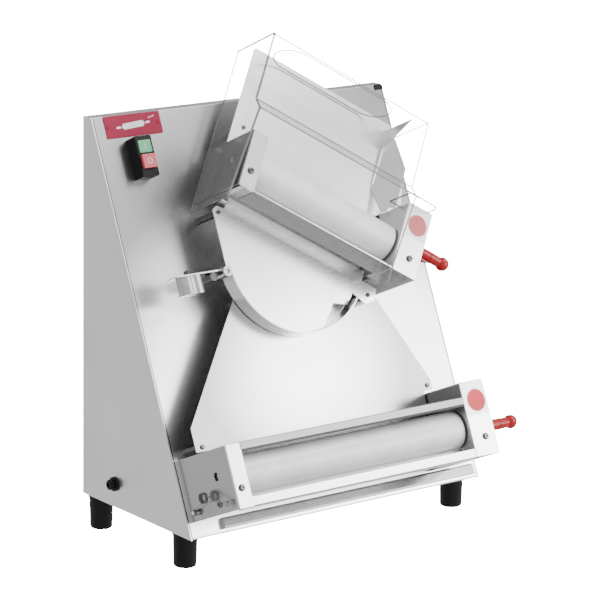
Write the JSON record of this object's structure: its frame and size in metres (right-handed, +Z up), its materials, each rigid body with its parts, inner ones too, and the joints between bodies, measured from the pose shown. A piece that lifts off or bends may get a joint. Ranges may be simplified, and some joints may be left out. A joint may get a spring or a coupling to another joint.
{
  "type": "dough sheeter",
  "caption": "Countertop dough sheeter: sloping steel housing with a tilted upper and a level lower pair of white rollers, clear guard and rocker.",
  "frame": {"origin": "bottom centre of the machine's bounding box, on the surface that the feet stand on", "axes": "+X to the operator's right along the lower rollers, +Y towards the back, +Z up; the rollers face -Y"},
  "size_m": [0.567, 0.3886, 0.7499],
  "materials": {
    "brushed_stainless": "satin brushed sheet",
    "roller_plastic": "smooth white food-grade plastic",
    "clear_plastic": "clear polished sheet",
    "red_plastic": "glossy red",
    "black_rubber": "matt",
    "black_plastic": "fine matt",
    "green_plastic": "translucent green",
    "stop_red": "glossy red",
    "machined_steel": "turned",
    "zinc_steel": "zinc plated",
    "bearing_bronze": "turned",
    "motor_paint": "semi-gloss",
    "badge": "printed red, blank",
    "spring_steel": "bright wire"
  },
  "bodies": {
    "root": {"back_cover": "brushed_stainless", "back_shaft_bearings": "bearing_bronze", "base_plate": "brushed_stainless", "cable_gland": "black_plastic", "casing_screws": "zinc_steel", "chute_plate": "brushed_stainless", "clear_guard": "clear_plastic", "discharge_lip": "brushed_stainless", "drive_chains": "machined_steel", "feet": "black_rubber", "foot_bolts": "zinc_steel", "front_panel": "brushed_stainless", "gear_motors": "motor_paint", "infeed_cheek": "brushed_stainless", "infeed_plate": "brushed_stainless", "left_side_panel": "brushed_stainless", "lower_bearing_plates": "brushed_stainless", "lower_front_cover": "brushed_stainless", "lower_gear_case": "brushed_stainless", "lower_left_casing": "brushed_stainless", "lower_top_cover": "brushed_stainless", "nameplate": "badge", "panel_screws": "zinc_steel", "plate_standoffs": "zinc_steel", "right_side_panel": "brushed_stainless", "rocker_pivot_bolt": "machined_steel", "scraper_springs": "spring_steel", "scrapers": "brushed_stainless", "slide_plate": "brushed_stainless", "switch_housing": "black_plastic", "upper_bearing_plates": "brushed_stainless", "upper_front_cover": "brushed_stainless", "upper_gear_case": "brushed_stainless", "upper_left_casing": "brushed_stainless"},
    "upper_back_roller": {"upper_back_roller": "roller_plastic", "upper_back_shaft": "machined_steel", "upper_drive_gear": "machined_steel"},
    "upper_front_roller": {"upper_front_roller": "roller_plastic", "upper_driven_gear": "machined_steel"},
    "upper_bushes": {"upper_front_bushes": "bearing_bronze"},
    "upper_adjuster": {"upper_eccentric_shaft": "machined_steel", "upper_thickness_lever": "red_plastic"},
    "upper_grip": {"upper_lever_grip": "red_plastic"},
    "upper_motor_sprocket": {"upper_motor_sprocket": "machined_steel"},
    "lower_back_roller": {"lower_back_roller": "roller_plastic", "lower_back_shaft": "machined_steel", "lower_drive_gear": "machined_steel"},
    "lower_front_roller": {"lower_front_roller": "roller_plastic", "lower_driven_gear": "machined_steel"},
    "lower_bushes": {"lower_front_bushes": "bearing_bronze"},
    "lower_adjuster": {"lower_eccentric_shaft": "machined_steel", "lower_thickness_lever": "red_plastic"},
    "lower_grip": {"lower_lever_grip": "red_plastic"},
    "lower_motor_sprocket": {"lower_motor_sprocket": "machined_steel"},
    "rocker": {"rocker_band": "brushed_stainless", "counterweight_arm": "brushed_stainless"},
    "counterweight": {"counterweight": "machined_steel", "counterweight_screw": "zinc_steel"},
    "start_button": {"start_button": "green_plastic"},
    "stop_button": {"stop_button": "stop_red"}
  },
  "joints": [
    {"name": "upper_back_roller_spin", "type": "hinge", "parent": "root", "child": "upper_back_roller", "pos_m": [-0.10286, 0.1023, 0.54729], "axis": [0.8329, -0.2279, -0.5043], "continuous": true},
    {"name": "upper_gap_slide", "type": "slide", "parent": "root", "child": "upper_bushes", "axis": [0, -0.9113, 0.4117], "range_m": [-0.0018, 0.0018]},
    {"name": "upper_front_roller_spin", "type": "hinge", "parent": "upper_bushes", "child": "upper_front_roller", "pos_m": [-0.10286, 0.04635, 0.57257], "axis": [0.8329, -0.2279, -0.5043], "continuous": true},
    {"name": "upper_thickness_lever_turn", "type": "hinge", "parent": "root", "child": "upper_adjuster", "pos_m": [-0.10061, 0.04774, 0.57565], "axis": [-0.8329, 0.2279, 0.5043], "range_deg": [-25, 25]},
    {"name": "upper_grip_pull", "type": "slide", "parent": "upper_adjuster", "child": "upper_grip", "axis": [0.8329, -0.2279, -0.5043], "range_m": [0, 0.006], "stiffness_N_per_m": 900, "springref_m": -0.002},
    {"name": "upper_motor_sprocket_spin", "type": "hinge", "parent": "root", "child": "upper_motor_sprocket", "pos_m": [-0.10286, 0.17311, 0.5153], "axis": [0.8329, -0.2279, -0.5043], "continuous": true},
    {"name": "lower_back_roller_spin", "type": "hinge", "parent": "root", "child": "lower_back_roller", "pos_m": [-0.26435, -0.08526, 0.13216], "axis": [1, 0, 0], "continuous": true},
    {"name": "lower_gap_slide", "type": "slide", "parent": "root", "child": "lower_bushes", "axis": [0, -0.9113, 0.4117], "range_m": [0, 0.0036]},
    {"name": "lower_front_roller_spin", "type": "hinge", "parent": "lower_bushes", "child": "lower_front_roller", "pos_m": [-0.26435, -0.13957, 0.1567], "axis": [1, 0, 0], "continuous": true},
    {"name": "lower_thickness_lever_turn", "type": "hinge", "parent": "root", "child": "lower_adjuster", "pos_m": [-0.26435, -0.13954, 0.16114], "axis": [-1, 0, 0], "range_deg": [0, 50]},
    {"name": "lower_grip_pull", "type": "slide", "parent": "lower_adjuster", "child": "lower_grip", "axis": [1, 0, 0], "range_m": [0, 0.006], "stiffness_N_per_m": 900, "springref_m": -0.002},
    {"name": "lower_motor_sprocket_spin", "type": "hinge", "parent": "root", "child": "lower_motor_sprocket", "pos_m": [-0.26435, -0.01445, 0.10017], "axis": [1, 0, 0], "continuous": true},
    {"name": "rocker_swing", "type": "hinge", "parent": "root", "child": "rocker", "pos_m": [-0.14885, 0.01203, 0.41379], "axis": [0, 0.9113, -0.4117], "range_deg": [0, 22]},
    {"name": "counterweight_slide", "type": "slide", "parent": "rocker", "child": "counterweight", "axis": [1, 0, 0], "range_m": [-0.009, 0.009]},
    {"name": "start_press", "type": "slide", "parent": "root", "child": "start_button", "axis": [0, 0.9113, -0.4117], "range_m": [0, 0.0025], "stiffness_N_per_m": 600, "springref_m": -0.002},
    {"name": "stop_press", "type": "slide", "parent": "root", "child": "stop_button", "axis": [0, 0.9113, -0.4117], "range_m": [0, 0.0025], "stiffness_N_per_m": 600, "springref_m": -0.002}
  ],
  "couplings": [
    {"joint": "upper_thickness_lever_turn", "follows": "upper_gap_slide", "rad_per_m": 242.41},
    {"joint": "upper_front_roller_spin", "follows": "upper_back_roller_spin", "ratio": -1},
    {"joint": "upper_motor_sprocket_spin", "follows": "upper_back_roller_spin", "ratio": 1},
    {"joint": "lower_thickness_lever_turn", "follows": "lower_gap_slide", "rad_per_m": 242.41},
    {"joint": "lower_front_roller_spin", "follows": "lower_back_roller_spin", "ratio": -1},
    {"joint": "lower_motor_sprocket_spin", "follows": "lower_back_roller_spin", "ratio": 1}
  ]
}
